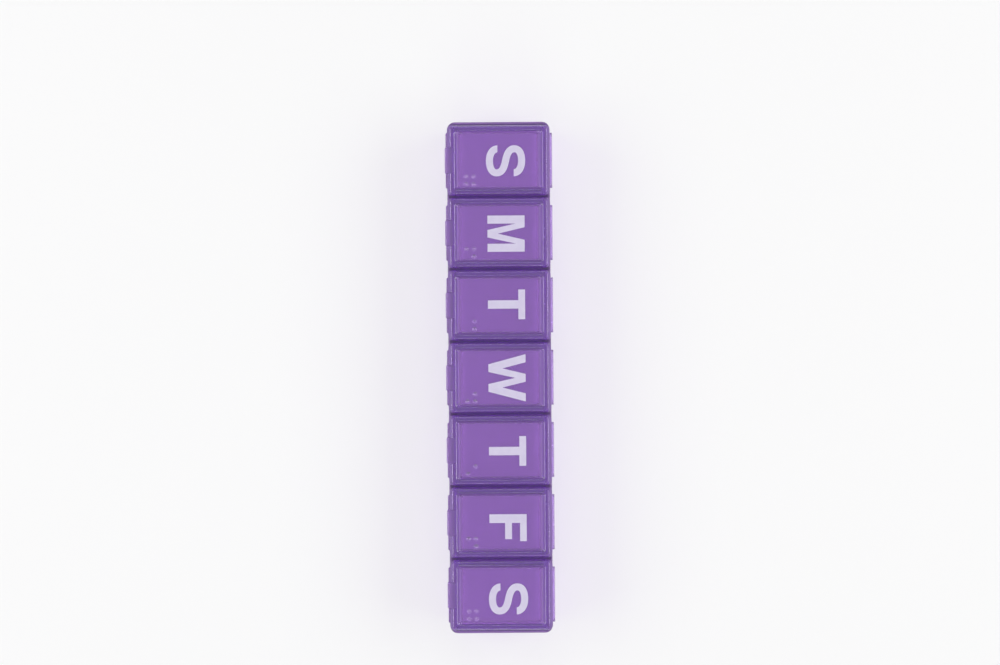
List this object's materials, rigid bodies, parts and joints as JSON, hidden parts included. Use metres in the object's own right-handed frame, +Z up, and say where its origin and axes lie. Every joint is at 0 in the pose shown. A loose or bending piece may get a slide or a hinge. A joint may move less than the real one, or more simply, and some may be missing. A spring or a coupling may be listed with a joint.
{
  "type": "weekly pill organizer",
  "caption": "Long translucent purple pill box: a tray of day cells with scooped floors, each under its own snap lid with a living hinge, a thumb tab, a day initial and braille dots.",
  "frame": {"origin": "middle of the flat underside that the tray stands on", "axes": "+X along the row from the first day of the week to the last, +Y from the thumb tabs to the hinges, +Z up"},
  "size_m": [0.1584, 0.0332, 0.0254],
  "materials": {
    "tray_plastic": "clear purple polypropylene, glossy",
    "lid_plastic": "clear purple polypropylene, glossy",
    "hinge_plastic": "thin clear purple polypropylene, slightly whitened by the fold",
    "day_print": "white printing ink, satin"
  },
  "bodies": {
    "tray": {"tray": "tray_plastic", "hinge_sunday": "hinge_plastic", "hinge_monday": "hinge_plastic", "hinge_tuesday": "hinge_plastic", "hinge_wednesday": "hinge_plastic", "hinge_thursday": "hinge_plastic", "hinge_friday": "hinge_plastic", "hinge_saturday": "hinge_plastic"},
    "lid_sunday": {"lid_sunday": "lid_plastic"},
    "lid_monday": {"lid_monday": "lid_plastic"},
    "lid_tuesday": {"lid_tuesday": "lid_plastic"},
    "lid_wednesday": {"lid_wednesday": "lid_plastic"},
    "lid_thursday": {"lid_thursday": "lid_plastic"},
    "lid_friday": {"lid_friday": "lid_plastic"},
    "lid_saturday": {"lid_saturday": "lid_plastic"}
  },
  "joints": [
    {"name": "lid_sunday_swing", "type": "hinge", "parent": "tray", "child": "lid_sunday", "pos_m": [-0.0672, 0.0162, 0.02245], "axis": [-1, 0, 0], "range_deg": [0, 180], "deforming": ["hinge_sunday"]},
    {"name": "lid_monday_swing", "type": "hinge", "parent": "tray", "child": "lid_monday", "pos_m": [-0.0448, 0.0162, 0.02245], "axis": [-1, 0, 0], "range_deg": [0, 180], "deforming": ["hinge_monday"]},
    {"name": "lid_tuesday_swing", "type": "hinge", "parent": "tray", "child": "lid_tuesday", "pos_m": [-0.0224, 0.0162, 0.02245], "axis": [-1, 0, 0], "range_deg": [0, 180], "deforming": ["hinge_tuesday"]},
    {"name": "lid_wednesday_swing", "type": "hinge", "parent": "tray", "child": "lid_wednesday", "pos_m": [0, 0.0162, 0.02245], "axis": [-1, 0, 0], "range_deg": [0, 180], "deforming": ["hinge_wednesday"]},
    {"name": "lid_thursday_swing", "type": "hinge", "parent": "tray", "child": "lid_thursday", "pos_m": [0.0224, 0.0162, 0.02245], "axis": [-1, 0, 0], "range_deg": [0, 180], "deforming": ["hinge_thursday"]},
    {"name": "lid_friday_swing", "type": "hinge", "parent": "tray", "child": "lid_friday", "pos_m": [0.0448, 0.0162, 0.02245], "axis": [-1, 0, 0], "range_deg": [0, 180], "deforming": ["hinge_friday"]},
    {"name": "lid_saturday_swing", "type": "hinge", "parent": "tray", "child": "lid_saturday", "pos_m": [0.0672, 0.0162, 0.02245], "axis": [-1, 0, 0], "range_deg": [0, 180], "deforming": ["hinge_saturday"]}
  ]
}
